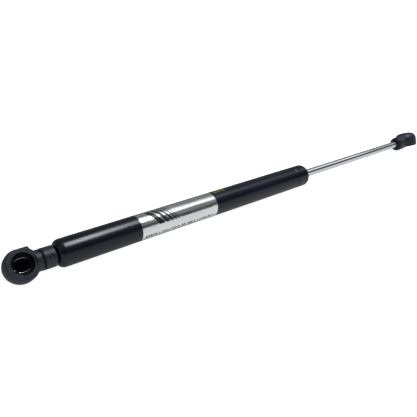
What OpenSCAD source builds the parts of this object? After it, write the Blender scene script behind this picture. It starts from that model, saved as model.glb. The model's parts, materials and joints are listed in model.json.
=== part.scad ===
// Gas strut stay: a sealed gas cylinder with a sliding, turning piston rod and a
// ball socket on each end. X runs along the strut, from the cylinder's socket to
// the rod's socket. The origin is the centre of the ball in the cylinder's socket,
// whose mouth faces +Z. The rod's socket faces -Y and a little down. The rod is
// drawn fully out.

/* [Strut] */
// Distance between the two ball centres with the rod fully out
extended_length = 514; // [508:1:560]
// How far the rod slides in
stroke = 175; // [100:1:175]

/* [Cylinder] */
// Outside diameter of the pressure tube
tube_d = 22; // [20:0.5:24]
// Wall of the pressure tube
tube_wall = 1.2; // [1:0.1:1.4]
// Length of the pressure tube over its closed ends
tube_length = 280.4; // [278:0.2:300]
// Radius of the rolled corner at the closed end
closed_corner = 5.5; // [4:0.5:6]
// Radius of the rolled corner at the rod end
open_corner = 4.5; // [3:0.5:5]
// Distance from the rod end of the tube back to the rolled bead
bead_back = 18; // [17.5:0.5:22]
// Depth of the rolled bead on the outside
bead_depth = 0.5; // [0.3:0.1:0.7]

/* [Label] */
// Length of the foil label
label_length = 80; // [40:1:120]
// Distance from the closed end of the tube to the label
label_offset = 70.4; // [40:0.2:80]

/* [Rod] */
// Diameter of the piston rod
rod_d = 8; // [7:0.5:8]

/* [Sockets] */
// Diameter of the ball that each socket holds
ball_d = 10; // [9:0.5:10]
// Outside diameter of a socket's head
head_d = 25.5; // [24:0.5:26]
// Diameter of a socket's neck
neck_d = 16.4; // [15:0.2:17]
// Distance from the ball centre to the end of a socket's neck
neck_reach = 24.6; // [24:0.1:28]
// Diameter of a socket's mouth
mouth_d = 16.4; // [15:0.2:17]
// How far the rod's socket is turned about the strut, past facing -Y
rod_end_turn = 20; // [0:5:90]

/* [Hidden] */
$fn = 96;

fit = 0.05;                 // radial running clearance between bodies
gap = 0.02;                 // gap between faces that only rest together
arc_steps = 10;             // steps in a rounded corner of a turned profile

// Cylinder
tube_r = tube_d / 2;
bore_r = tube_r - tube_wall;
tube_x0 = neck_reach + 0.8;
tube_x1 = tube_x0 + tube_length;
bead_x = tube_x1 - bead_back;
bead_w = 2.4;
stud_hole_r = 5;
rod_hole_r = rod_d / 2 + 0.6;

// Rod end of the cylinder, from the bead outwards
pack_x0 = bead_x + bead_w / 2 + 0.5;
support_t = 1.5;
seal_t = 5;
guide_x0 = pack_x0 + support_t + seal_t;
guide_x1 = tube_x1 - open_corner;
guide_nose = 3;
guide_nose_r = 6;
bush_wall = 1;
rod_r = rod_d / 2;
slip_r = rod_r + fit;

// Closed end of the cylinder
plug_x0 = tube_x0 + closed_corner;
plug_t = 8;
plug_groove_w = 2.4;
plug_groove_x = plug_x0 + 3;
plug_groove_r = bore_r - 1.7;

// Thread that holds each socket
thread_r = 3.95;
thread_root_r = 3.4;
thread_pitch = 1.25;
thread_depth = 13.5;
insert_r = 5.6;
insert_lip = 0.5;

// Piston, counted back from the bead
stop_t = 5.5;
stop_x1 = bead_x - bead_w / 2 - 0.3;
stop_x0 = stop_x1 - stop_t;
shoulder_x = stop_x0 - 1;
valve_lift = 0.5;
valve_t = 1;
piston_x1 = shoulder_x - valve_lift - valve_t - gap;
piston_t = 12.5;
piston_x0 = piston_x1 - piston_t;
piston_r = bore_r - 0.2;
ring_groove_x = piston_x0 + 4;
ring_groove_w = 3.4;
ring_groove_r = piston_r - 2;
ring_side = 0.2;
washer_t = 1.2;
spigot_r = 2.5;
rivet_t = 1.8;
assert(piston_x0 - washer_t - rivet_t - stroke > plug_x0 + plug_t,
    "stroke is too long for the tube");

// Sockets
rod_ball_x = extended_length;
ball_r = ball_d / 2;
head_r = head_d / 2;
neck_r = neck_d / 2;
mouth_r = mouth_d / 2;
face_h = 6.5;               // from the ball centre to the mouth's face
back_h = 10.2;              // from the ball centre to the crown of the back
plate_h = 3.5;              // height of the front plate's underside
mouth_depth = 2.5;
seat_clear = 0.05;          // between the ball and its seat
seat_r = ball_r + seat_clear;
seat_top = 2.6;             // height of the seat's rim above the ball centre
flat_y = 11.4;              // the flat on one side of the head
flat_low = -4;              // where the flat ends towards the back
clip_wire = 0.5;            // radius of the clip's wire
clip_r = ball_r + 0.25;     // radius of the clip at the middle of its wire
clip_h = 2.1;               // height of the clip above the ball centre
clip_gap_deg = 50;          // opening of the clip

// Points of a round corner, for a turned profile
function corner(cx, cy, r, from, to) =
    [for (i = [0:arc_steps]) let (a = from + (to - from) * i / arc_steps)
        [cx + r * cos(a), cy + r * sin(a)]];

// Solid turned about X from [radius, x] points
module turned(profile) {
    rotate([0, 90, 0]) rotate_extrude() polygon(profile);
}

// Cylinder along X from x0 to x1
module bar(x0, x1, r) {
    translate([x0, 0, 0]) rotate([0, 90, 0]) cylinder(h = x1 - x0, r = r);
}

// Ring about X from x0 to x1
module ring(x0, x1, outer_r, inner_r) {
    difference() {
        bar(x0, x1, outer_r);
        bar(x0 - 1, x1 + 1, inner_r);
    }
}

// Round bar along X with ridges like a thread's
module ridged_bar(x0, x1, root_r, crest_r) {
    turns = floor((x1 - x0) / thread_pitch);
    turned(concat(
        [[0, x0]],
        [for (i = [0:turns - 1]) each [
            [root_r, x0 + i * thread_pitch],
            [crest_r, x0 + (i + 0.5) * thread_pitch]
        ]],
        [[root_r, x1], [0, x1]]
    ));
}

// Tube with both ends rolled in and a bead that holds the seal pack
module pressure_tube() {
    outer = concat(
        [[stud_hole_r, tube_x0]],
        corner(tube_r - closed_corner, tube_x0 + closed_corner, closed_corner, -90, 0),
        bead_outline(tube_r, bead_depth, bead_w),
        corner(tube_r - open_corner, tube_x1 - open_corner, open_corner, 0, 90),
        [[rod_hole_r, tube_x1]]
    );
    inner_bead = bead_outline(bore_r, bead_depth, bead_w - 0.4);
    inner = concat(
        [[rod_hole_r, tube_x1 - tube_wall]],
        corner(tube_r - open_corner, tube_x1 - open_corner, open_corner - tube_wall, 90, 0),
        [for (i = [len(inner_bead) - 1:-1:0]) inner_bead[i]],
        corner(tube_r - closed_corner, tube_x0 + closed_corner, closed_corner - tube_wall,
            0, -90),
        [[stud_hole_r, tube_x0 + tube_wall]]
    );
    color("#15161a") turned(concat(outer, inner));
}

// Groove profile of the bead, in order along X
function bead_outline(r, depth, w) =
    [for (i = [-2:2]) [r - depth * (1 + cos(i * 90)) / 2, bead_x + i * w / 4]];

// Plug that closes the tube, with the threaded stud for the socket
module end_plug() {
    neck_x = neck_reach + insert_lip;
    color("#9a9ca0") {
        difference() {
            bar(plug_x0, plug_x0 + plug_t, bore_r - gap);
            ring(plug_groove_x, plug_groove_x + plug_groove_w, bore_r + 1, plug_groove_r);
        }
        bar(tube_x0 + tube_wall + gap, plug_x0 + 0.5, tube_r - closed_corner);
        bar(neck_x + gap, tube_x0 + tube_wall + 0.5, stud_hole_r - gap);
        ridged_bar(neck_reach - thread_depth + 0.5, neck_x + 0.5, thread_root_r, thread_r);
    }
}

// O-ring around the plug
module end_plug_seal() {
    mid = plug_groove_x + plug_groove_w / 2;
    section_r = (bore_r - plug_groove_r) / 2 - gap;
    color("#101010") rotate([0, 90, 0])
        rotate_extrude() translate([plug_groove_r + section_r + gap, mid])
            circle(r = section_r, $fn = 32);
}

// Foil label wrapped around the tube
module foil_label() {
    foil = 0.12;
    x0 = tube_x0 + label_offset;
    color("#d8d8d4") ring(x0, x0 + label_length, tube_r + foil, tube_r);
}

module seal_support_washer() {
    color("#b0b2b6") ring(pack_x0, pack_x0 + support_t, bore_r - gap, rod_r + 0.3);
}

// Lip seal: a solid heel, and a lip that reaches the rod on the pressure side
module rod_seal() {
    x0 = pack_x0 + support_t;
    x1 = guide_x0;
    lip_t = 1.4;
    color("#1c1c1e") turned([
        [slip_r, x0], [slip_r + lip_t, x0], [slip_r + lip_t + 0.6, x0 + 3],
        [bore_r - 2, x0 + 3], [bore_r - 1.4, x0], [bore_r - gap, x0],
        [bore_r - gap, x1], [rod_r + 0.3, x1], [rod_r + 0.3, x0 + 2.2]
    ]);
}

// Guide that carries the bush and fills the closed end
module rod_guide() {
    seat_r = slip_r + bush_wall;
    color("#3a3d42") difference() {
        union() {
            bar(guide_x0, guide_x1, bore_r - gap);
            bar(guide_x1 - 1, guide_x1 + guide_nose, guide_nose_r);
        }
        bar(guide_x0 - 1, guide_x1 + guide_nose + 1, rod_r + 0.3);
        bar(guide_x0 + 1, guide_x1 + guide_nose + 1, seat_r);
    }
}

module guide_bush() {
    color("#8b6a3f")
        ring(guide_x0 + 1, guide_x1 + guide_nose - 0.5, slip_r + bush_wall, slip_r);
}

module piston_ring() {
    color("#2b2b2e") ring(ring_groove_x + ring_side,
        ring_groove_x + ring_groove_w - ring_side, bore_r - fit, ring_groove_r + fit);
}

// Rod with a turned-down, riveted end for the piston and a threaded outer end
module piston_rod() {
    neck_x = rod_ball_x - neck_reach;
    thread_x0 = neck_x - insert_lip;
    color("#c9ccd1") {
        bar(shoulder_x, thread_x0 - gap, rod_r);
        bar(piston_x0 - washer_t - 0.5, shoulder_x + 1, spigot_r);
        turned([
            [0, piston_x0 - washer_t - rivet_t], [2.6, piston_x0 - washer_t - rivet_t],
            [3.7, piston_x0 - washer_t - 0.8], [3.7, piston_x0 - washer_t],
            [0, piston_x0 - washer_t]
        ]);
        ridged_bar(thread_x0 - 0.5, neck_x + thread_depth - 0.5, thread_root_r, thread_r);
    }
}

// Piston with its ring groove and four gas passages
module piston() {
    passages = 4;
    color("#77797d") difference() {
        bar(piston_x0, piston_x1, piston_r);
        bar(piston_x0 - 1, piston_x1 + 1, spigot_r);
        ring(ring_groove_x, ring_groove_x + ring_groove_w, piston_r + 1, ring_groove_r);
        for (i = [0:passages - 1])
            rotate([i * 360 / passages, 0, 0]) translate([0, 0, 5])
                bar(piston_x0 - 1, piston_x1 + 1, 0.9);
    }
}

module piston_washer() {
    color("#b0b2b6") ring(piston_x0 - washer_t, piston_x0, 6.4, spigot_r);
}

// Disc that lifts off the piston as the rod goes in, and seats as it comes out
module valve_disc() {
    color("#d0b070") ring(piston_x1 + gap, piston_x1 + gap + valve_t, 6.6, spigot_r + fit);
}

module extension_stop() {
    color("#202022") turned([
        [rod_r, stop_x0], [6.6, stop_x0], [7.4, stop_x0 + 1], [7.4, stop_x1 - 1],
        [6.6, stop_x1], [rod_r, stop_x1]
    ]);
}

// Head of a socket: a round back with a domed crown, and a front plate, with a flat on one side
module socket_head() {
    rim = 0.7;
    step = 0.4;
    dome_r = 7.6;
    shoulder_x1 = 7;
    shoulder_x2 = 8.9;
    shoulder_y2 = 7.1;
    difference() {
        rotate_extrude() polygon(concat(
            [[0, -back_h]],
            corner(head_r - dome_r, dome_r - back_h, dome_r, -90, 0),
            [[head_r, plate_h - step], [head_r - step, plate_h],
                [head_r - step, face_h - rim], [head_r - step - rim, face_h], [0, face_h]]
        ));
        translate([-head_r, flat_y, flat_low])
            cube([2 * head_r, head_r, face_h - flat_low + 1]);
    }
    translate([0, 0, plate_h - 1]) linear_extrude(height = face_h - plate_h + 1)
        polygon([[0, 0], [0, flat_y], [shoulder_x1, flat_y], [shoulder_x2, shoulder_y2],
            [shoulder_x2, 0]]);
}

// Neck of a socket, which tapers out of the head and has a groove before its round end
module socket_neck() {
    groove_x = neck_reach - 10.4;
    groove_depth = 0.35;
    rim = 0.8;
    turned([
        [0, 2], [neck_r - 1.2, 5], [neck_r - 0.2, 10], [neck_r - 0.2, groove_x],
        [neck_r - 0.2 - groove_depth, groove_x + 0.3],
        [neck_r - 0.2 - groove_depth, groove_x + 0.9], [neck_r, groove_x + 1.2],
        [neck_r, neck_reach - rim], [neck_r - rim, neck_reach], [0, neck_reach]
    ]);
}

// Socket about its ball centre: mouth towards +Z, neck towards +X
module socket() {
    groove_w = 2 * clip_wire + 0.1;
    face_rim = 1.6;
    color("#24272d") difference() {
        union() {
            socket_head();
            socket_neck();
        }
        translate([0, 0, face_h - mouth_depth]) cylinder(h = mouth_depth + 1, r = mouth_r);
        translate([0, 0, face_h]) cylinder(h = neck_r, r = mouth_r + face_rim);
        translate([0, 0, seat_top]) cylinder(h = face_h - mouth_depth - seat_top + 0.01,
            r1 = seat_r + 0.9, r2 = mouth_r);
        cylinder(h = seat_top + 0.01, r = seat_r);
        sphere(r = seat_r);
        translate([0, 0, clip_h - groove_w / 2])
            cylinder(h = groove_w, r = clip_r + clip_wire + 0.1);
        bar(neck_reach - thread_depth, neck_reach + 1, insert_r);
    }
}

// Threaded insert in the neck, with a lip that shows past the neck's end
module insert() {
    color("#b9bcc2")
        ring(neck_reach - thread_depth, neck_reach + insert_lip, insert_r, thread_r + gap);
}

// Open ring of wire that snaps behind the ball
module clip() {
    color("#aeb2b8") translate([0, 0, clip_h])
        rotate([0, 0, clip_gap_deg / 2 - 140])
            rotate_extrude(angle = 360 - clip_gap_deg)
                translate([clip_r, 0]) circle(r = clip_wire, $fn = 32);
}

// Puts a socket piece on the rod's end, turned about the rod
module at_rod_end() {
    translate([rod_ball_x, 0, 0]) rotate([-90 - rod_end_turn, 0, 180]) children();
}

pressure_tube();
end_plug();
end_plug_seal();
foil_label();
seal_support_washer();
rod_seal();
rod_guide();
guide_bush();
socket();  // tube_end_socket
insert();  // tube_end_insert
clip();  // tube_end_clip
piston_ring();
piston_rod();
piston();
piston_washer();
extension_stop();
at_rod_end() socket();  // rod_end_socket
at_rod_end() insert();  // rod_end_insert
at_rod_end() clip();  // rod_end_clip
valve_disc();
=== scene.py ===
"""Gas strut stay: looks for every piece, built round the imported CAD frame.

Everything is in metres in the CAD's own frame: X runs along the strut, the origin is
the ball centre of the cylinder's socket, and that socket's mouth faces +Z. Angles
about the strut are measured from +Y towards +Z.
"""

import json
import math
import random

import bmesh  # noqa: E402
import bpy  # noqa: E402
from mathutils import Matrix, Vector  # noqa: E402


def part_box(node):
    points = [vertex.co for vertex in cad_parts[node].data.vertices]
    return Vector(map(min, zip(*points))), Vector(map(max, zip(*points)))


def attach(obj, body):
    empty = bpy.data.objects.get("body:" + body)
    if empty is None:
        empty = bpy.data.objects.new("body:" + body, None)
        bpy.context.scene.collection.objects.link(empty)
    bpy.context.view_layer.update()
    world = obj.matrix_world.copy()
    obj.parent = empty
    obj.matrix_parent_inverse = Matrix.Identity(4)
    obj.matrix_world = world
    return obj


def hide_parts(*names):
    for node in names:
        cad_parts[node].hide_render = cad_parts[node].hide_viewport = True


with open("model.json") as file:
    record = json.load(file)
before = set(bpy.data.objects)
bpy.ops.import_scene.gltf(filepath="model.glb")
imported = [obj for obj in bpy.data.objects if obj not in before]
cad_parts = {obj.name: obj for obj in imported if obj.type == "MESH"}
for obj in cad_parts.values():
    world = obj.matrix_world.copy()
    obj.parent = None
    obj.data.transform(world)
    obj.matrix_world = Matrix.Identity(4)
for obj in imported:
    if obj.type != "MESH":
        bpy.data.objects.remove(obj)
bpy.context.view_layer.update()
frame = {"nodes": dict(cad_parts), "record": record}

MM = 0.001

# ---- sizes taken from the frame ----
TUBE_LO, TUBE_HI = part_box("pressure_tube")
TUBE_R = TUBE_HI.y
LABEL_LO, LABEL_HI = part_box("foil_label")
LABEL_R = LABEL_HI.y
ROD_LO, ROD_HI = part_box("piston_rod")
ROD_R = ROD_HI.y
SOCKET_LO, SOCKET_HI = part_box("tube_end_socket")
NECK_END = SOCKET_HI.x
NECK_R = SOCKET_HI.z
BACK_H = -SOCKET_LO.z
CLIP_LO, CLIP_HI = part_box("tube_end_clip")
MOUNTS = {m["name"]: m for m in frame["record"]["mounts"]}

# ---- tube: details that the CAD's boxes don't give ----
TUBE_WALL = 1.2 * MM
CLOSED_CORNER = 5.5 * MM
OPEN_CORNER = 4.5 * MM
STUD_HOLE_R = 5.0 * MM
ROD_HOLE_R = ROD_R + 0.6 * MM
BEAD_X = TUBE_HI.x - 18 * MM
BEAD_HALF = 1.2 * MM
BEAD_FLOOR_HALF = 0.3 * BEAD_HALF
BEAD_DEPTH = 0.5 * MM

# ---- rod, and the M8 thread that it shares with the inserts ----
# The rod's end faces stop this far from the axis, so that no face shrinks to nothing.
ROD_AXIS_R = 0.02 * MM
SPIGOT_R = 2.5 * MM
RIVET_TIP_R, RIVET_R, RIVET_RIM = 2.8 * MM, 3.7 * MM, 0.8 * MM
SHOULDER_GAP = 1.52 * MM
THREAD_LENGTH = 13.5 * MM
THREAD_PITCH = 1.25 * MM
THREAD_ROOT_R, THREAD_CREST_R, THREAD_TIP_R = 3.4 * MM, 3.95 * MM, 3.0 * MM
INSERT_BORE_R = 3.97 * MM
INSERT_THREAD_DEPTH = 0.45 * MM

# ---- label and print: angles in degrees, lengths along X in mm from the label's edge ----
FOIL = 0.08 * MM
FOIL_EDGE = 0.02 * MM
FOIL_SEAM, FOIL_LAP = 262, 20
FOIL_STEPS = 240
PRINT_R = LABEL_R - 0.045 * MM
PRINT_HEIGHT = 0.03 * MM
BARS_START, BARS_GAP, BARS_SLANT = 8, 1.8, 9
BAR_WIDTHS = (5.0, 3.4, 2.3, 1.5, 0.9)
BARS_ANGLES = (38, 112)
LINE_START, LINE_LENGTH, LINE_ANGLES = 40, 34, (108, 110.5)
DASH_GAPS = (0.05, 0.08, 0.12, 0.2)
# Rows of dashes, as (angle, start, end, height in degrees).
BLACK_ROWS = ((147, 3, 76, 12),)
GREY_ROWS = ((48, 40, 66, 4), (97, 50, 72, 4))

# ---- marks on the tube ----
INK_HEIGHT = 0.02 * MM
# Angles in degrees, lengths along X in mm from the label.
YELLOW_ANGLES, YELLOW_TALL = (31, 42), 7
YELLOW_COUNT, YELLOW_START, YELLOW_PITCH, YELLOW_WIDTH = 9, 3, 1.5, 0.8
TICK_BACK, TICK_WIDTH, TICK_SLANT, TICK_ANGLES = 11, 1.1, 0.6, (78, 112)

# ---- sockets ----
# The painted shade, given as grease, reaches this far from the ball's centre, and to this radius
# in the mouth.
SEAT_REACH = 8.6 * MM
MOUTH_R = 8.2 * MM
MOUTH_EDGE = 0.15 * MM
PARTING_START = 13 * MM
PARTING_SUNK, PARTING_PROUD = 0.6 * MM, 0.12 * MM
GATE_R, GATE_DEPTH = 1.3 * MM, 0.5 * MM
PIN_PLACE_R, PIN_R, PIN_DEPTH = 3.2 * MM, 0.7 * MM, 0.3 * MM
PIN_ANGLES = (60, 180, 300)
FUSE_GRID = 0.17 * MM
THIN_RATIO = 0.35

# ---- marks on the necks: angles in degrees, lengths in mm ----
MARK_HEIGHT, MARK_SUNK = 0.12 * MM, 0.1 * MM
MARK_ROW_BACK = 10.0
NECK_BAR_WIDTH, NECK_BAR_ANGLES = 1.3, (100, 158)
# Ticks along the row, as (angle, offset along X, width).
NECK_TICKS = ((46, -1.4, 1.4), (54, -1.2, 2.4), (63, -1.2, 1.2), (70, -0.4, 1.6),
              (78, -1.2, 2.4), (87, -1.2, 1.5), (94, -0.2, 1.3))
NECK_TICK_TALL = 5.5
# Squares nearer the neck's end, as (angle, distance back from the end).
NECK_SQUARES = ((94, 6.2), (84, 4.7), (94, 3.2))
NECK_SQUARE_WIDTH, NECK_SQUARE_TALL = 1.0, 9

# ---- spring clips ----
CLIP_WIDER = 2.0 * MM
CLIP_GAP, CLIP_GAP_CENTRE = 34, -140
CLIP_STEPS, CLIP_SIDES = 72, 16
# The clip's hooked end, as (distance from the ball's axis, height) in mm.
CLIP_HOOK = ((7.4, 2.7), (7.8, 3.7), (7.5, 4.4), (6.7, 4.0), (5.7, 3.3))
HOOK_ROUNDS = 3

# ---- fineness of the meshes ----
ROUND_STEPS = 10
TUBE_STEPS, ROD_STEPS, INSERT_STEPS = 256, 192, 96
DISC_STEPS = 40
BAR_STEP = math.radians(2)
RUN_MARGIN, LONGEST_RUN = 0.15 * MM, 6 * MM


# ---------------------------------------------------------------- mesh helpers
def new_object(name, bm, material, smooth=True):
    """Puts a finished bmesh into the scene as one object."""
    bmesh.ops.recalc_face_normals(bm, faces=bm.faces)
    mesh = bpy.data.meshes.new(name)
    bm.to_mesh(mesh)
    bm.free()
    for polygon in mesh.polygons:
        polygon.use_smooth = smooth
    mesh.materials.append(material)
    obj = bpy.data.objects.new(name, mesh)
    bpy.context.scene.collection.objects.link(obj)
    return obj


def fillet(corners):
    """Outline through (x, r, radius) corners, each rounded by its radius."""
    points = []
    for i, (x, r, radius) in enumerate(corners):
        here = Vector((x, r))
        before = Vector(corners[i - 1][:2]) - here
        after = Vector(corners[(i + 1) % len(corners)][:2]) - here
        if radius == 0:
            points.append(here)
            continue
        u, v = before.normalized(), after.normalized()
        half = u.angle(v) / 2
        reach = radius / math.tan(half)
        centre = here + (u + v).normalized() * (radius / math.sin(half))
        start, end = here + u * reach - centre, here + v * reach - centre
        for k in range(ROUND_STEPS + 1):
            points.append(centre + start.slerp(end, k / ROUND_STEPS) * radius)
    return points


def supported(points):
    """Adds points to long straight runs, so that smooth shading stays true on them."""
    out = []
    for i, a in enumerate(points):
        b = points[(i + 1) % len(points)]
        run = (b - a).length
        out.append(a)
        if run < 4 * RUN_MARGIN:
            continue
        cuts = max(1, int(run / LONGEST_RUN))
        margin = RUN_MARGIN / run
        places = [margin] + [k / cuts for k in range(1, cuts)] + [1 - margin]
        out.extend(a.lerp(b, t) for t in places)
    return out


def turned(name, corners, material, steps):
    """Closed ring of revolution about X from an outline of (x, r, radius) corners."""
    outline = supported(fillet(corners))
    bm = bmesh.new()
    rows = []
    for k in range(steps):
        a = 2 * math.pi * k / steps
        c, s = math.cos(a), math.sin(a)
        rows.append([bm.verts.new((p.x, p.y * c, p.y * s)) for p in outline])
    for k in range(steps):
        row, after = rows[k], rows[(k + 1) % steps]
        for j in range(len(outline)):
            m = (j + 1) % len(outline)
            bm.faces.new((row[j], row[m], after[m], after[j]))
    bmesh.ops.remove_doubles(bm, verts=bm.verts, dist=1e-7)
    return new_object(name, bm, material)


def settled(obj):
    """Applies the object's modifiers to its mesh."""
    graph = bpy.context.evaluated_depsgraph_get()
    mesh = bpy.data.meshes.new_from_object(obj.evaluated_get(graph))
    obj.modifiers.clear()
    obj.data = mesh
    return obj


def block(bm, place, low, high):
    """Closed box from corner to corner, in the frame that place gives."""
    corners = [(x, y, z) for x in (low[0], high[0]) for y in (low[1], high[1])
               for z in (low[2], high[2])]
    verts = [bm.verts.new(place @ Vector(c)) for c in corners]
    for quad in ((0, 1, 3, 2), (4, 6, 7, 5), (0, 4, 5, 1), (2, 3, 7, 6),
                 (0, 2, 6, 4), (1, 5, 7, 3)):
        bm.faces.new([verts[i] for i in quad])


def disc(bm, place, radius, depth):
    """Closed short cylinder along place's Z, centred on its origin."""
    bmesh.ops.create_cone(bm, cap_ends=True, segments=DISC_STEPS, radius1=radius,
                          radius2=radius, depth=depth, matrix=place)


def skin(bm, rings):
    """Faces between closed rings of vertices in a row, with a cap on each end."""
    for one, two in zip(rings, rings[1:]):
        for j in range(len(one)):
            m = (j + 1) % len(one)
            bm.faces.new((one[j], one[m], two[m], two[j]))
    bm.faces.new(rings[0])
    bm.faces.new(reversed(rings[-1]))


def wrapped_bar(bm, radius, height, x, width, start, end, slant=0.0):
    """Thin raised bar that follows a cylinder about X, from angle start to angle end.
    slant is how far it moves along X over its whole length."""
    steps = max(2, int(abs(end - start) / BAR_STEP))
    rings = []
    for k in range(steps + 1):
        t = k / steps
        a = start + (end - start) * t
        left = x + slant * t
        ring = []
        for px, pr in ((left, radius), (left + width, radius),
                       (left + width, radius + height), (left, radius + height)):
            ring.append(bm.verts.new((px, pr * math.cos(a), pr * math.sin(a))))
        rings.append(ring)
    skin(bm, rings)


# ------------------------------------------------------------ material helpers
def fill_ramp(node, stops):
    """Puts (position, colour) stops into a colour ramp node."""
    elements = node.color_ramp.elements
    while len(elements) < len(stops):
        elements.new(0.5)
    for element, (position, colour) in zip(elements, stops):
        element.position = position
        element.color = (*colour, 1.0)


class Look:
    """A node material round one Principled shader."""

    def __init__(self, name, **sockets):
        self.material = bpy.data.materials.new(name)
        self.material.use_nodes = True
        self.tree = self.material.node_tree
        self.shader = self.tree.nodes["Principled BSDF"]
        for socket, value in sockets.items():
            self.shader.inputs[socket.replace("_", " ")].default_value = value
        self.place = self.tree.nodes.new("ShaderNodeTexCoord").outputs["Object"]

    def link(self, a, b):
        self.tree.links.new(a, b)

    def stretched(self, scale):
        """Object coordinates scaled by a different amount along each axis."""
        node = self.tree.nodes.new("ShaderNodeMapping")
        node.inputs["Scale"].default_value = scale
        self.link(self.place, node.inputs["Vector"])
        return node.outputs["Vector"]

    def noise(self, scale, detail=3.0, rough=0.55, place=None):
        """Cloudy pattern with about that many features to the metre."""
        node = self.tree.nodes.new("ShaderNodeTexNoise")
        node.inputs["Scale"].default_value = scale
        node.inputs["Detail"].default_value = detail
        node.inputs["Roughness"].default_value = rough
        self.link(place or self.place, node.inputs["Vector"])
        return node.outputs["Fac"]

    def cells(self, scale):
        """Distance to the nearest of scattered points, that many to the metre."""
        node = self.tree.nodes.new("ShaderNodeTexVoronoi")
        node.inputs["Scale"].default_value = scale
        self.link(self.place, node.inputs["Vector"])
        return node.outputs["Distance"]

    def ramp(self, factor, stops):
        """Colour ramp through (position, colour) stops."""
        node = self.tree.nodes.new("ShaderNodeValToRGB")
        fill_ramp(node, stops)
        self.link(factor, node.inputs["Fac"])
        return node.outputs["Color"]

    def span(self, factor, low, high, start=0.3, end=0.7):
        """Maps the factor's start to end onto low to high."""
        node = self.tree.nodes.new("ShaderNodeMapRange")
        for socket, value in (("From Min", start), ("From Max", end),
                              ("To Min", low), ("To Max", high)):
            node.inputs[socket].default_value = value
        self.link(factor, node.inputs["Value"])
        return node.outputs["Result"]

    def mix(self, factor, a, b):
        """Mix of two colour outputs."""
        node = self.tree.nodes.new("ShaderNodeMix")
        node.data_type = "RGBA"
        self.link(factor, node.inputs["Factor"])
        self.link(a, node.inputs["A"])
        self.link(b, node.inputs["B"])
        return node.outputs["Result"]

    def product(self, a, b):
        """Two values multiplied."""
        node = self.tree.nodes.new("ShaderNodeMath")
        node.operation = "MULTIPLY"
        self.link(a, node.inputs[0])
        self.link(b, node.inputs[1])
        return node.outputs[0]

    def colour(self, output):
        self.link(output, self.shader.inputs["Base Color"])

    def roughness(self, output):
        self.link(output, self.shader.inputs["Roughness"])

    def bumps(self, *layers):
        """Stacks (height output, distance in metres, strength) as bumps."""
        normal = None
        for height, distance, strength in layers:
            node = self.tree.nodes.new("ShaderNodeBump")
            node.inputs["Distance"].default_value = distance
            node.inputs["Strength"].default_value = strength
            self.link(height, node.inputs["Height"])
            if normal is not None:
                self.link(normal, node.inputs["Normal"])
            normal = node.outputs["Normal"]
        self.link(normal, self.shader.inputs["Normal"])


def paint_look():
    """Gloss black stove paint: faint orange peel, handling smears and dust specks."""
    look = Look("black_paint", Specular_IOR_Level=0.4)
    smear = look.noise(38, 4, place=look.stretched((0.35, 1, 1)))
    base = look.ramp(smear, [(0.35, (0.0006, 0.0018, 0.007)), (0.7, (0.0014, 0.003, 0.011))])
    dust = look.span(look.cells(420), 1, 0, 0.02, 0.05)
    sparse = look.span(look.noise(60, 2), 0, 0.35, 0.55, 0.75)
    pale = look.ramp(smear, [(0.0, (0.04, 0.04, 0.045)), (1.0, (0.07, 0.07, 0.08))])
    look.colour(look.mix(look.product(dust, sparse), base, pale))
    look.roughness(look.span(smear, 0.22, 0.32))
    look.bumps((look.noise(520, 2), 0.00002, 0.35), (look.noise(2600, 2), 0.000004, 0.3))
    return look.material


def foil_look():
    """Aluminium foil label under clear film: rolling grain and slight ripples."""
    look = Look("silver_foil", Metallic=1.0, Coat_Weight=0.3, Coat_Roughness=0.08)
    grain = look.noise(900, 3, place=look.stretched((0.04, 1, 1)))
    cloud = look.noise(70, 3)
    look.colour(look.ramp(cloud, [(0.3, (0.80, 0.805, 0.795)), (0.7, (0.88, 0.885, 0.875))]))
    look.roughness(look.span(grain, 0.14, 0.26))
    look.bumps((look.noise(45, 2, place=look.stretched((0.3, 1, 1))), 0.00006, 0.25),
               (grain, 0.000003, 0.35))
    return look.material


def nylon_look():
    """Glass-filled nylon: dark, matte, with flow mottling and a fine spark grain."""
    look = Look("socket_nylon", Specular_IOR_Level=0.4)
    flow = look.noise(160, 5, 0.6)
    fleck = look.cells(2400)
    base = look.ramp(flow, [(0.3, (0.0075, 0.0105, 0.017)), (0.7, (0.013, 0.017, 0.027))])
    pale = look.ramp(fleck, [(0.0, (0.030, 0.036, 0.045)), (0.25, (0.010, 0.014, 0.02))])
    look.colour(look.mix(look.span(look.noise(900, 2), 0, 0.5, 0.45, 0.7), base, pale))
    look.roughness(look.span(flow, 0.35, 0.48))
    look.bumps((look.noise(1500, 4, 0.7), 0.00004, 0.45), (flow, 0.00006, 0.25))
    return look.material


def chrome_look():
    """Hard chrome on a ground rod: very fine rings and faint stroke marks."""
    look = Look("chromed_rod", Metallic=1.0)
    rings = look.noise(1, 3, place=look.stretched((14000, 60, 60)))
    strokes = look.noise(1, 3, place=look.stretched((25, 2600, 2600)))
    look.colour(look.ramp(strokes, [(0.3, (0.70, 0.71, 0.73)), (0.7, (0.80, 0.81, 0.83))]))
    look.roughness(look.span(strokes, 0.05, 0.12))
    look.bumps((rings, 0.0000015, 0.3), (strokes, 0.000001, 0.3))
    return look.material


def metal_look(name, dark, light, rough, grain, bump):
    """Plain metal with a grain of that scale."""
    look = Look(name, Metallic=1.0)
    cloud = look.noise(grain / 4, 4)
    look.colour(look.ramp(cloud, [(0.3, dark), (0.7, light)]))
    look.roughness(look.span(cloud, rough - 0.07, rough + 0.07))
    look.bumps((look.noise(grain, 3), bump, 0.4))
    return look.material


def plain_look(name, dark, light, rough, grain, bump, shine=0.5):
    """Rubber, plastic, ink, and grease that is also painted shade, each with a grain of that
    scale.
    """
    look = Look(name, Specular_IOR_Level=shine)
    cloud = look.noise(grain / 5, 4)
    look.colour(look.ramp(cloud, [(0.3, dark), (0.7, light)]))
    look.roughness(look.span(cloud, rough - 0.08, rough + 0.08))
    look.bumps((look.noise(grain, 3), bump, 0.4))
    return look.material


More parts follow.
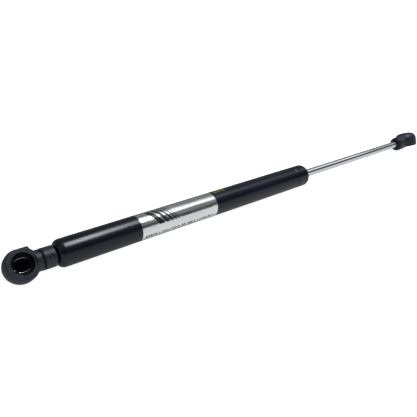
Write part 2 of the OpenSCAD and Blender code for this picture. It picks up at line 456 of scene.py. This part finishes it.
# Metals, as darkest and lightest colour, roughness, grain to the metre and bump in metres.
METALS = {
    "zinc_steel": ((0.50, 0.51, 0.53), (0.66, 0.67, 0.69), 0.3, 1200, 0.00001),
    "spring_wire": ((0.16, 0.165, 0.18), (0.30, 0.31, 0.33), 0.25, 2500, 0.000004),
    "bush_bronze": ((0.30, 0.19, 0.09), (0.46, 0.30, 0.15), 0.38, 1800, 0.00002),
    "piston_alloy": ((0.34, 0.34, 0.36), (0.50, 0.50, 0.52), 0.45, 2200, 0.00003),
    "insert_steel": ((0.035, 0.036, 0.04), (0.07, 0.072, 0.08), 0.35, 1200, 0.00001),
}
# Rubber, plastic, inks, and a near-black grease that is also painted shade, as for the metals.
# Blacks that hardly shine have a low specular level as well.
PLAINS = {
    "seal_rubber": ((0.009, 0.009, 0.010), (0.02, 0.02, 0.021), 0.6, 1400, 0.00003),
    "guide_plastic": ((0.030, 0.031, 0.034), (0.05, 0.051, 0.056), 0.42, 900, 0.00002),
    "ink_black": ((0.006, 0.006, 0.008), (0.012, 0.012, 0.015), 0.3, 1500, 0.000005),
    "ink_grey": ((0.10, 0.10, 0.10), (0.16, 0.16, 0.16), 0.4, 1500, 0.000005),
    "ink_yellow": ((0.17, 0.135, 0.008), (0.26, 0.21, 0.015), 0.5, 1500, 0.000005),
    # Near-black painted shade for the sockets' seats and mouths, given as grease.
    "seat_grease_and_shade": ((0.0005, 0.0006, 0.0012), (0.0015, 0.002, 0.003), 0.5, 900, 0.00002, 0.1),
    "mark_black": ((0.0008, 0.001, 0.002), (0.002, 0.0025, 0.004), 0.6, 1500, 0.00001, 0.15),
}

LOOKS = {"black_paint": paint_look(), "silver_foil": foil_look(),
         "socket_nylon": nylon_look(), "chromed_rod": chrome_look()}
LOOKS.update({name: metal_look(name, *values) for name, values in METALS.items()})
LOOKS.update({name: plain_look(name, *values) for name, values in PLAINS.items()})


def dress(piece, body, slot, *nodes):
    """Puts a new piece on the body that it rides on and hides the CAD nodes that it stands for;
    slot is not used.
    """
    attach(piece, body)
    if nodes:
        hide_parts(*nodes)


# ---------------------------------------------------------------------- pieces
def make_tube():
    """Painted tube: rounded ends with a hole in each, and a rolled bead near the rod's end."""
    x0, x1, bore = TUBE_LO.x, TUBE_HI.x, TUBE_R - TUBE_WALL
    bead_r = TUBE_R - BEAD_DEPTH
    tube = turned("tube_shell", [
        (x0, STUD_HOLE_R, 0.25 * MM), (x0, TUBE_R, CLOSED_CORNER),
        (BEAD_X - BEAD_HALF, TUBE_R, 0.8 * MM), (BEAD_X - BEAD_FLOOR_HALF, bead_r, 0.5 * MM),
        (BEAD_X + BEAD_FLOOR_HALF, bead_r, 0.5 * MM), (BEAD_X + BEAD_HALF, TUBE_R, 0.8 * MM),
        (x1, TUBE_R, OPEN_CORNER), (x1, ROD_HOLE_R, 0.5 * MM),
        (x1 - TUBE_WALL, ROD_HOLE_R, 0.2 * MM), (x1 - TUBE_WALL, bore, OPEN_CORNER - TUBE_WALL),
        (BEAD_X + BEAD_HALF, bore, 0.5 * MM), (BEAD_X, bore - BEAD_DEPTH, 0.4 * MM),
        (BEAD_X - BEAD_HALF, bore, 0.5 * MM),
        (x0 + TUBE_WALL, bore, CLOSED_CORNER - TUBE_WALL),
        (x0 + TUBE_WALL, STUD_HOLE_R, 0.2 * MM),
    ], LOOKS["black_paint"], TUBE_STEPS)
    dress(tube, "cylinder", "black_paint", "pressure_tube")


def make_rod():
    """Ground and chromed rod, with its turned spigot, rivet head and rolled thread."""
    thread_x = ROD_HI.x - THREAD_LENGTH
    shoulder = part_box("piston")[1].x + SHOULDER_GAP
    head = ROD_LO.x
    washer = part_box("piston_washer")[0].x
    corners = [
        (head, ROD_AXIS_R, 0), (head, RIVET_TIP_R, 0.5 * MM),
        (washer - RIVET_RIM, RIVET_R, 0.3 * MM), (washer, RIVET_R, 0.1 * MM),
        (washer, SPIGOT_R, 0), (shoulder, SPIGOT_R, 0), (shoulder, ROD_R, 0.3 * MM),
        (thread_x, ROD_R, 0.25 * MM), (thread_x, THREAD_ROOT_R, 0),
    ]
    for i in range(int(THREAD_LENGTH / THREAD_PITCH)):
        corners.append((thread_x + (i + 0.5) * THREAD_PITCH, THREAD_CREST_R, 0.08 * MM))
        corners.append((thread_x + (i + 1) * THREAD_PITCH, THREAD_ROOT_R, 0.08 * MM))
    corners += [(ROD_HI.x, THREAD_TIP_R, 0), (ROD_HI.x, ROD_AXIS_R, 0)]
    rod = turned("rod_chromed", corners, LOOKS["chromed_rod"], ROD_STEPS)
    dress(rod, "rod", "chromed_rod", "piston_rod")


def make_label():
    """Foil label wrapped once round the tube, its end lapped over its start."""
    x0, x1, edge = LABEL_LO.x, LABEL_HI.x, FOIL_EDGE
    lap = math.radians(FOIL_LAP)
    bm = bmesh.new()
    rings = []
    for k in range(FOIL_STEPS + 1):
        turn = (2 * math.pi + lap) * k / FOIL_STEPS
        lift = FOIL * min(1.0, max(0.0, (turn - 2 * math.pi + lap / 2) / (lap / 2)))
        a = math.radians(FOIL_SEAM) + turn
        low, high = TUBE_R + lift, TUBE_R + lift + FOIL
        outline = [(x0 + edge, low), (x0, low + edge), (x0, high - edge), (x0 + edge, high)]
        outline += [(x0 + (x1 - x0) * t, high) for t in (0.005, 0.25, 0.5, 0.75, 0.995)]
        outline += [(x1 - edge, high), (x1, high - edge), (x1, low + edge), (x1 - edge, low)]
        rings.append([bm.verts.new((x, r * math.cos(a), r * math.sin(a))) for x, r in outline])
    skin(bm, rings)
    label = new_object("label_foil", bm, LOOKS["silver_foil"])
    dress(label, "cylinder", "silver_foil", "foil_label")


def print_bar(bm, start, width, angles, slant=0):
    """One printed bar on the label: start, width and slant in mm, angles in degrees."""
    wrapped_bar(bm, PRINT_R, PRINT_HEIGHT, LABEL_LO.x + start * MM, width * MM,
                math.radians(angles[0]), math.radians(angles[1]), slant=slant * MM)


def make_label_bars():
    """Plain mark of slanted bars, each narrower than the last, and one long thin line."""
    bm = bmesh.new()
    start = BARS_START
    for width in BAR_WIDTHS:
        print_bar(bm, start, width, BARS_ANGLES, BARS_SLANT)
        start += width + BARS_GAP
    print_bar(bm, LINE_START, LINE_LENGTH, LINE_ANGLES)
    bars = new_object("label_bars", bm, LOOKS["ink_black"], smooth=False)
    dress(bars, "cylinder", None)


def make_label_dashes(name, look, rows, draw):
    """Rows of dashes of mixed widths, in the place of fine print."""
    bm = bmesh.new()
    for angle, start, end, tall in rows:
        x = start
        while x < end:
            width = draw.uniform(0.05, 0.17) * tall
            low = angle + draw.uniform(0, 2)
            print_bar(bm, x, width, (low, low + tall * draw.uniform(0.7, 1.1)))
            x += width + draw.choice(DASH_GAPS) * tall
    dress(new_object(name, bm, look, smooth=False), "cylinder", None)


def make_label_print():
    """The mark, and the rows in the place of print."""
    make_label_bars()
    draw = random.Random(5)
    make_label_dashes("label_dashes", LOOKS["ink_black"], BLACK_ROWS, draw)
    make_label_dashes("label_fine_dashes", LOOKS["ink_grey"], GREY_ROWS, draw)


def make_tube_marks():
    """Two short rows of yellow ticks past the label, and one black tick before it."""
    bm = bmesh.new()
    for row, angle in enumerate(YELLOW_ANGLES):
        for i in range(YELLOW_COUNT):
            left_out = (i * 3 + row) % 7 == 5
            if not left_out:
                x = LABEL_HI.x + (YELLOW_START + YELLOW_PITCH * i) * MM
                wrapped_bar(bm, TUBE_R, INK_HEIGHT, x, YELLOW_WIDTH * MM,
                            math.radians(angle), math.radians(angle + YELLOW_TALL))
    ticks = new_object("tube_yellow_ticks", bm, LOOKS["ink_yellow"], smooth=False)
    dress(ticks, "cylinder", None)
    bm = bmesh.new()
    low, high = (math.radians(angle) for angle in TICK_ANGLES)
    wrapped_bar(bm, TUBE_R, INK_HEIGHT, LABEL_LO.x - TICK_BACK * MM, TICK_WIDTH * MM,
                low, high, slant=TICK_SLANT * MM)
    dress(new_object("tube_tick", bm, LOOKS["mark_black"], smooth=False), "cylinder", None)


def socket_place(seat, along):
    """Matrix from a socket's own frame to the strut's: neck +X, mouth +Z."""
    z = Vector(MOUNTS[seat]["axis"]).normalized()
    x = Vector((along, 0, 0))
    y = z.cross(x)
    place = Matrix((x, y, z)).transposed().to_4x4()
    place.translation = Vector(MOUNTS[seat]["pos_m"])
    return place


def make_neck_marks(name, body, place):
    """Raised black marks round the neck: a bar, a row of ticks and three squares."""
    bm = bmesh.new()
    row_x = NECK_END - MARK_ROW_BACK * MM
    spans = [(row_x - NECK_BAR_WIDTH / 2 * MM, NECK_BAR_WIDTH, *NECK_BAR_ANGLES)]
    for start, shift, width in NECK_TICKS:
        spans.append((row_x + shift * MM, width, start, start + NECK_TICK_TALL))
    for start, back in NECK_SQUARES:
        spans.append((NECK_END - back * MM, NECK_SQUARE_WIDTH, start, start + NECK_SQUARE_TALL))
    for x, width, start, end in spans:
        wrapped_bar(bm, NECK_R - MARK_SUNK, MARK_HEIGHT + MARK_SUNK, x, width * MM,
                    math.radians(start), math.radians(end))
    bmesh.ops.transform(bm, matrix=place, verts=bm.verts)
    dress(new_object(name, bm, LOOKS["mark_black"], smooth=False), body, None)


def paint_seat_shade_and_grease(obj, place):
    """Gives the seat's and the mouth's faces a near-black grease material, which is painted shade
    for the recess.
    """
    back = place.inverted()
    obj.data.materials.append(LOOKS["seat_grease_and_shade"])
    for polygon in obj.data.polygons:
        p = back @ polygon.center
        in_mouth = p.z > 0 and math.hypot(p.x, p.y) < MOUTH_R + MOUTH_EDGE
        if p.length < SEAT_REACH or in_mouth:
            polygon.material_index = 1


def add_mould_marks(bm, place):
    """The parting line along both sides of the neck, and the gate and ejector pins."""
    for side in (-1, 1):
        low, high = sorted((side * (NECK_R - PARTING_SUNK), side * (NECK_R + PARTING_PROUD)))
        block(bm, place, (PARTING_START, low, -PARTING_PROUD),
              (NECK_END - MM, high, PARTING_PROUD))
    back = place @ Matrix.Translation((0, 0, -BACK_H))
    disc(bm, back, GATE_R, GATE_DEPTH)
    for angle in PIN_ANGLES:
        a = math.radians(angle)
        pin = Matrix.Translation((PIN_PLACE_R * math.cos(a), PIN_PLACE_R * math.sin(a), 0))
        disc(bm, back @ pin, PIN_R, PIN_DEPTH)


def make_socket(name, node, body, place):
    """Moulded socket: the CAD's shape with its mould marks, fused and rounded as a
    moulding is."""
    bm = bmesh.new()
    bm.from_mesh(frame["nodes"][node].data)
    bmesh.ops.remove_doubles(bm, verts=bm.verts, dist=1e-6)
    add_mould_marks(bm, place)
    socket = new_object(name, bm, LOOKS["socket_nylon"])
    remesh = socket.modifiers.new("fuse", "REMESH")
    remesh.mode = "VOXEL"
    remesh.voxel_size = FUSE_GRID
    remesh.use_smooth_shade = True
    smooth = socket.modifiers.new("round", "SMOOTH")
    smooth.factor = 0.5
    smooth.iterations = 4
    thin = socket.modifiers.new("thin", "DECIMATE")
    thin.ratio = THIN_RATIO
    # The seat's and mouth's faces get near-black painted shade, given as grease.
    paint_seat_shade_and_grease(settled(socket), place)
    dress(socket, body, "socket_nylon", node)


def make_insert(name, node, body, along):
    """Threaded steel insert, with a chamfered lip past the neck's end."""
    low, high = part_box(node)
    outer, inner = high.y, INSERT_BORE_R
    start, end = (low.x, high.x) if along > 0 else (high.x, low.x)
    turns = int((high.x - low.x) / THREAD_PITCH)
    corners = [(start, inner, 0.1 * MM), (start, outer, 0.2 * MM), (end, outer, 0.2 * MM),
               (end, inner + 0.3 * MM, 0.1 * MM)]
    for i in range(turns):
        x = end - along * (i + 0.5) * THREAD_PITCH
        corners.append((x, inner + INSERT_THREAD_DEPTH, 0.05 * MM))
        corners.append((x - along * 0.5 * THREAD_PITCH, inner, 0.05 * MM))
    # The last root would crowd the corner at the insert's start.
    corners.pop()
    insert = turned(name, corners, LOOKS["insert_steel"], INSERT_STEPS)
    dress(insert, body, "zinc_steel", node)


def rounded(points, rounds):
    """Cuts the corners of a run of points, that many times over."""
    for _ in range(rounds):
        cut = [points[0]]
        for a, b in zip(points, points[1:]):
            cut += [a.lerp(b, 0.25), a.lerp(b, 0.75)]
        points = cut + [points[-1]]
    return points


def clip_path(height, radius):
    """Middle of the clip's wire: an oval with a gap, and a hook after its end."""
    gap, centre = math.radians(CLIP_GAP), math.radians(CLIP_GAP_CENTRE)
    points = []
    for k in range(CLIP_STEPS + 1):
        a = centre + gap / 2 + (2 * math.pi - gap) * k / CLIP_STEPS
        points.append(Vector(((radius + CLIP_WIDER) * math.cos(a), radius * math.sin(a), height)))
    across = Vector((math.cos(a), math.sin(a), 0))
    hook = [points[-1]] + [across * (r * MM) + Vector((0, 0, z * MM)) for r, z in CLIP_HOOK]
    return points + rounded(hook, HOOK_ROUNDS)[1:]


def make_clip(name, node, body, place):
    """Open ring of spring wire: its long sides run in the wall, and one end is hooked."""
    wire = (CLIP_HI.z - CLIP_LO.z) / 2
    points = clip_path((CLIP_HI.z + CLIP_LO.z) / 2, CLIP_HI.x - wire)
    bm = bmesh.new()
    rings = []
    for i, p in enumerate(points):
        ahead = points[min(i + 1, len(points) - 1)] - points[max(i - 1, 0)]
        ahead.normalize()
        out = Vector((p.x, p.y, 0)).normalized()
        out = (out - ahead * out.dot(ahead)).normalized()
        up = ahead.cross(out)
        rings.append([bm.verts.new(place @ (p + wire * (out * math.cos(t) + up * math.sin(t))))
                      for t in (2 * math.pi * j / CLIP_SIDES for j in range(CLIP_SIDES))])
    skin(bm, rings)
    clip = new_object(name, bm, LOOKS["spring_wire"])
    dress(clip, body, "spring_wire", node)


def dress_cad_nodes():
    """Gives each CAD node that stays its slot's material."""
    slots = {
        "end_plug": "zinc_steel", "end_plug_seal": "seal_rubber",
        "seal_support_washer": "zinc_steel", "rod_seal": "seal_rubber",
        "rod_guide": "guide_plastic", "guide_bush": "bush_bronze",
        "piston_ring": "guide_plastic", "piston": "piston_alloy",
        "piston_washer": "zinc_steel", "extension_stop": "seal_rubber",
        "valve_disc": "spring_wire",
    }
    for node, slot in slots.items():
        mesh = frame["nodes"][node].data
        mesh.materials.clear()
        mesh.materials.append(LOOKS[slot])


# ---------------------------------------------------------------------- studio
# The floor is a lit table: it glows, and so hardly takes a shadow.
FLOOR_GLOW = 0.7
FLOOR_SIZE = 6
# Strip lights over the strut's +Y side: name, start and end along X, width, radiance.
STRIPS = (("strip_near", 0.345, 0.50, 0.44, 18), ("strip_mid", 0.50, 0.57, 0.40, 9),
          ("strip_far", 0.57, 1.05, 0.26, 1.1), ("strip_end", 1.22, 1.64, 0.38, 0.8))
STRIP_DISTANCE, STRIP_TURN = 0.85, math.radians(48)
STRIP_TINT = (0.93, 0.98, 1.05)
OVERHEAD_ENERGY, OVERHEAD_ANGLE = 1.2, math.radians(100)
OVERHEAD_TURN = (math.radians(-8), math.radians(10), 0)
# Brightness of the surroundings by degrees about the strut, from +Y towards +Z.
SURROUNDINGS = ((-180, 0.76), (-150, 0.66), (-130, 0.36), (-90, 0.30), (-50, 0.25),
                (-30, 0.20), (-10, 0.19), (14, 0.20), (38, 0.52), (56, 0.55), (68, 0.14),
                (88, 0.20), (100, 0.04), (116, 0.04), (125, 0.70), (180, 0.76))
WORLD_TINT = (0.985, 1.0, 1.02)
# The photo's view, with its focal length and film width in mm.
CAMERA_PLACE = (-0.1119, -0.0588, 0.3691)
CAMERA_AHEAD = (0.60627, 0.11892, -0.78632)
CAMERA_UP = (0.2498, 0.91023, 0.33026)
CAMERA_LENS, CAMERA_FILM = 44.9, 36.0


def make_floor():
    """Pale floor under the strut, tilted a hair so that both of its ends touch."""
    look = Look("floor_pale", Roughness=0.7, Emission_Color=(1, 1, 1, 1),
                Emission_Strength=FLOOR_GLOW)
    cloud = look.noise(3, 2)
    look.colour(look.ramp(cloud, [(0.3, (0.84, 0.845, 0.85)), (0.7, (0.86, 0.865, 0.87))]))
    bm = bmesh.new()
    bmesh.ops.create_grid(bm, x_segments=8, y_segments=8, size=FLOOR_SIZE)
    floor = new_object("floor", bm, look.material)
    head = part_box("rod_end_socket")
    rise = (-TUBE_R - head[0].z) / (MOUNTS["rod_end_ball_seat"]["pos_m"][0] - TUBE_LO.x)
    floor.rotation_euler = (0, math.atan(rise), 0)
    near = TUBE_LO.x + CLOSED_CORNER
    floor.location = (0, 0, -TUBE_R + near * rise - 0.1 * MM)
    floor.visible_glossy = False


def make_world():
    """Studio surroundings: long pale and dark strips that run along the strut."""
    world = bpy.data.worlds.new("studio")
    bpy.context.scene.world = world
    world.use_nodes = True
    tree = world.node_tree
    tree.nodes.clear()
    coord = tree.nodes.new("ShaderNodeTexCoord")
    split = tree.nodes.new("ShaderNodeSeparateXYZ")
    about = tree.nodes.new("ShaderNodeMath")
    about.operation = "ARCTAN2"
    spread = tree.nodes.new("ShaderNodeMapRange")
    spread.inputs["From Min"].default_value = -math.pi
    spread.inputs["From Max"].default_value = math.pi
    ramp = tree.nodes.new("ShaderNodeValToRGB")
    fill_ramp(ramp, [((degrees + 180) / 360, [grey * tint for tint in WORLD_TINT])
                     for degrees, grey in SURROUNDINGS])
    path = tree.nodes.new("ShaderNodeLightPath")
    around = tree.nodes.new("ShaderNodeBackground")
    behind = tree.nodes.new("ShaderNodeBackground")
    behind.inputs["Color"].default_value = (1, 1, 1, 1)
    mix = tree.nodes.new("ShaderNodeMixShader")
    out = tree.nodes.new("ShaderNodeOutputWorld")
    link = tree.links.new
    link(coord.outputs["Generated"], split.inputs[0])
    link(split.outputs["Z"], about.inputs[0])
    link(split.outputs["Y"], about.inputs[1])
    link(about.outputs[0], spread.inputs["Value"])
    link(spread.outputs["Result"], ramp.inputs["Fac"])
    link(ramp.outputs["Color"], around.inputs["Color"])
    link(path.outputs["Is Camera Ray"], mix.inputs["Fac"])
    link(around.outputs[0], mix.inputs[1])
    link(behind.outputs[0], mix.inputs[2])
    link(mix.outputs[0], out.inputs["Surface"])


def softbox(name, centre, target, size_x, size_y, radiance):
    """Area light of that radiance, aimed at target."""
    light = bpy.data.lights.new(name, "AREA")
    light.shape = "RECTANGLE"
    light.size, light.size_y = size_x, size_y
    light.energy = radiance * math.pi * size_x * size_y
    light.color = STRIP_TINT
    obj = bpy.data.objects.new(name, light)
    obj.location = centre
    obj.rotation_euler = (Vector(target) - Vector(centre)).to_track_quat("-Z", "Y").to_euler()
    bpy.context.scene.collection.objects.link(obj)


def make_lights():
    """Strips that the tube's highlights come from, and a wide soft light from above."""
    outward = Vector((0, math.cos(STRIP_TURN), math.sin(STRIP_TURN)))
    for name, start, end, width, radiance in STRIPS:
        centre = Vector(((start + end) / 2, 0, 0)) + outward * STRIP_DISTANCE
        softbox(name, centre, centre - outward, end - start, width, radiance)
    fill = bpy.data.lights.new("overhead", "SUN")
    fill.energy = OVERHEAD_ENERGY
    fill.angle = OVERHEAD_ANGLE
    overhead = bpy.data.objects.new("overhead", fill)
    overhead.rotation_euler = OVERHEAD_TURN
    overhead.visible_glossy = False
    bpy.context.scene.collection.objects.link(overhead)


def make_camera():
    """Camera at the end of the cylinder's socket, looking down along the strut."""
    ahead = Vector(CAMERA_AHEAD).normalized()
    right = ahead.cross(Vector(CAMERA_UP)).normalized()
    up = right.cross(ahead)
    data = bpy.data.cameras.new("camera")
    data.lens, data.sensor_width = CAMERA_LENS, CAMERA_FILM
    data.clip_start, data.clip_end = 0.01, 50
    camera = bpy.data.objects.new("camera", data)
    turn = Matrix((right, up, -ahead)).transposed().to_4x4()
    camera.matrix_world = Matrix.Translation(CAMERA_PLACE) @ turn
    bpy.context.scene.collection.objects.link(camera)
    bpy.context.scene.camera = camera


TUBE_END = socket_place("tube_end_ball_seat", 1)
ROD_END = socket_place("rod_end_ball_seat", -1)

make_tube()
make_label()
make_label_print()
make_tube_marks()
make_rod()
make_socket("socket_tube_end", "tube_end_socket", "cylinder", TUBE_END)
make_socket("socket_rod_end", "rod_end_socket", "rod", ROD_END)
make_neck_marks("neck_marks_tube_end", "cylinder", TUBE_END)
make_neck_marks("neck_marks_rod_end", "rod", ROD_END)
make_insert("insert_tube_end", "tube_end_insert", "cylinder", 1)
make_insert("insert_rod_end", "rod_end_insert", "rod", -1)
make_clip("clip_tube_end", "tube_end_clip", "cylinder", TUBE_END)
make_clip("clip_rod_end", "rod_end_clip", "rod", ROD_END)
dress_cad_nodes()
make_floor()
make_world()
make_lights()
make_camera()
bpy.context.scene.view_settings.view_transform = "Standard"
